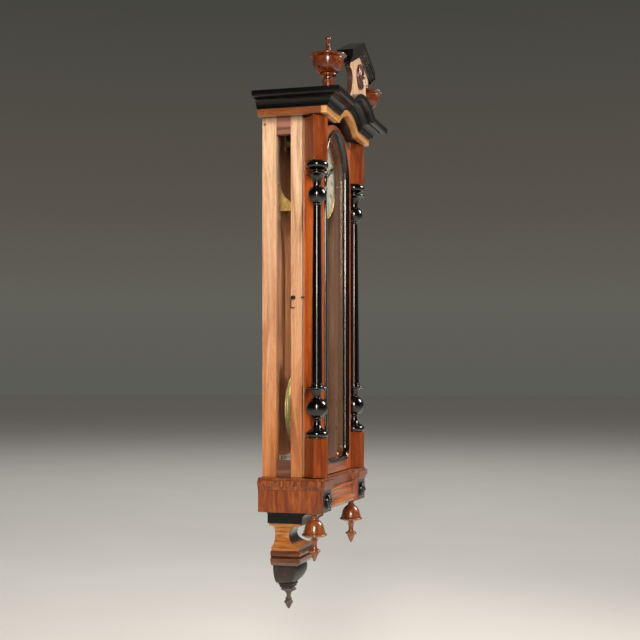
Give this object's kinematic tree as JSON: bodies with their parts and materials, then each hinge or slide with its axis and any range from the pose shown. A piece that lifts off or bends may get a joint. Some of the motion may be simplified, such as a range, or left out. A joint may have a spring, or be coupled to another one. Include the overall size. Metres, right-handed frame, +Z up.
{
  "type": "vienna regulator clock",
  "caption": "Weight-driven wall regulator clock in a glazed walnut and ebonised case with turned columns.",
  "frame": {"origin": "centre of the hanger's hole, in the plane of the wall", "axes": "+X to the right seen from the front, +Y back into the wall, +Z up"},
  "size_m": [0.418, 0.1822, 1.154],
  "materials": {
    "walnut": "semi-gloss",
    "bleached_walnut": "satin",
    "amber_walnut": "semi-gloss",
    "dark_walnut": "semi-gloss",
    "pale_veneer": "satin",
    "ebonised": "gloss",
    "polished_red": "gloss",
    "grey_turned": "satin",
    "window_glass": "clear",
    "lacquered_brass": "satin",
    "steel": "satin",
    "blued_steel": "gloss",
    "enamel": "gloss",
    "porcelain": "gloss",
    "gut": "matte"
  },
  "bodies": {
    "case": {"back_board": "walnut", "side_frame_left": "bleached_walnut", "side_frame_right": "bleached_walnut", "side_glasses": "window_glass", "top_board": "walnut", "bottom_board": "walnut", "header_board": "walnut", "fascia": "walnut", "cornice": "ebonised", "crest_board": "pale_veneer", "crest_roof": "ebonised", "crest_rosette": "dark_walnut", "top_finials": "polished_red", "base_board": "dark_walnut", "base_box": "amber_walnut", "base_apron": "dark_walnut", "base_rosettes": "dark_walnut", "drop_finials": "dark_walnut", "tail_plate": "dark_walnut", "tail_console": "walnut", "tail_moulding": "dark_walnut", "tail_bulb": "dark_walnut", "tail_finial": "grey_turned", "hanger_plate": "lacquered_brass", "movement_bracket": "lacquered_brass", "back_plate": "lacquered_brass", "front_plate": "lacquered_brass", "plate_pillars": "lacquered_brass", "dial": "enamel", "dial_bezel": "lacquered_brass", "beat_scale": "porcelain", "suspension_cock": "lacquered_brass", "hinge_case_leaves": "lacquered_brass", "latch_post": "lacquered_brass", "weight_line": "gut"},
    "door": {"door_frame": "walnut", "door_moulding": "ebonised", "door_glass": "window_glass", "column_left": "ebonised", "column_right": "ebonised", "column_blocks": "amber_walnut", "hinge_door_leaves": "lacquered_brass", "latch_eye": "lacquered_brass"},
    "hook": {"latch_hook": "lacquered_brass"},
    "pendulum": {"suspension_spring": "steel", "pendulum_rod": "walnut", "pendulum_bob": "lacquered_brass"},
    "nut": {"rating_nut": "lacquered_brass"},
    "anchor": {"anchor_crutch": "steel"},
    "centre_arbor": {"centre_wheel": "lacquered_brass", "minute_hand": "blued_steel"},
    "minute_pair": {"minute_wheel": "lacquered_brass"},
    "hour_pipe": {"hour_wheel": "lacquered_brass", "hour_hand": "blued_steel"},
    "third_arbor": {"third_wheel": "lacquered_brass"},
    "escape_arbor": {"escape_wheel": "lacquered_brass"},
    "great": {"great_wheel": "lacquered_brass"},
    "drum": {"winding_drum": "lacquered_brass"},
    "hanging_weight": {"weight": "lacquered_brass"},
    "pulley": {"weight_pulley": "lacquered_brass"}
  },
  "joints": [
    {"name": "door_hinge", "type": "hinge", "parent": "case", "child": "door", "pos_m": [0.1472, -0.09185, -0.7558], "axis": [0, 0, 1], "range_deg": [0, 100]},
    {"name": "hook_swing", "type": "hinge", "parent": "case", "child": "hook", "pos_m": [-0.15, -0.0738, -0.4078], "axis": [-1, 0, 0], "range_deg": [0, 90]},
    {"name": "pendulum_swing", "type": "hinge", "parent": "case", "child": "pendulum", "pos_m": [0, -0.037, -0.09017], "axis": [0, 1, 0], "range_deg": [-2.5, 2.5]},
    {"name": "nut_spin", "type": "hinge", "parent": "pendulum", "child": "nut", "pos_m": [0, -0.037, -0.7092], "axis": [0, 0, 1], "continuous": true},
    {"name": "anchor_rock", "type": "hinge", "parent": "case", "child": "anchor", "pos_m": [0, -0.06, -0.09017], "axis": [0, 1, 0], "range_deg": [-2.5, 2.5]},
    {"name": "centre_spin", "type": "hinge", "parent": "case", "child": "centre_arbor", "pos_m": [0, -0.06, -0.1568], "axis": [0, 1, 0], "continuous": true},
    {"name": "minute_wheel_spin", "type": "hinge", "parent": "case", "child": "minute_pair", "pos_m": [0.0072, -0.09, -0.14433], "axis": [0, 1, 0], "continuous": true},
    {"name": "hour_spin", "type": "hinge", "parent": "case", "child": "hour_pipe", "pos_m": [0, -0.09, -0.1568], "axis": [0, 1, 0], "continuous": true},
    {"name": "third_spin", "type": "hinge", "parent": "case", "child": "third_arbor", "pos_m": [0.01391, -0.06, -0.12932], "axis": [0, 1, 0], "continuous": true},
    {"name": "escape_spin", "type": "hinge", "parent": "case", "child": "escape_arbor", "pos_m": [0, -0.06, -0.1128], "axis": [0, 1, 0], "continuous": true},
    {"name": "great_spin", "type": "hinge", "parent": "case", "child": "great", "pos_m": [0, -0.06, -0.1904], "axis": [0, 1, 0], "continuous": true},
    {"name": "weight_slide", "type": "slide", "parent": "case", "child": "hanging_weight", "axis": [0, 0, 1], "range_m": [-0.018, 0.22], "deforming": ["weight_line"]},
    {"name": "pulley_spin", "type": "hinge", "parent": "hanging_weight", "child": "pulley", "pos_m": [0, -0.0745, -0.5108], "axis": [0, 1, 0], "range_deg": [-60, 722]},
    {"name": "drum_spin", "type": "hinge", "parent": "case", "child": "drum", "pos_m": [0, -0.06, -0.1904], "axis": [0, 1, 0], "range_deg": [-119, 1442]}
  ],
  "couplings": [
    {"joint": "anchor_rock", "follows": "pendulum_swing", "ratio": 1},
    {"joint": "minute_wheel_spin", "follows": "centre_spin", "ratio": -0.33333},
    {"joint": "hour_spin", "follows": "centre_spin", "ratio": 0.083333},
    {"joint": "third_spin", "follows": "centre_spin", "ratio": -10},
    {"joint": "escape_spin", "follows": "centre_spin", "ratio": 80},
    {"joint": "great_spin", "follows": "centre_spin", "ratio": -0.16667},
    {"joint": "pulley_spin", "follows": "weight_slide", "rad_per_m": 57.143},
    {"joint": "drum_spin", "follows": "weight_slide", "rad_per_m": 114.29}
  ]
}
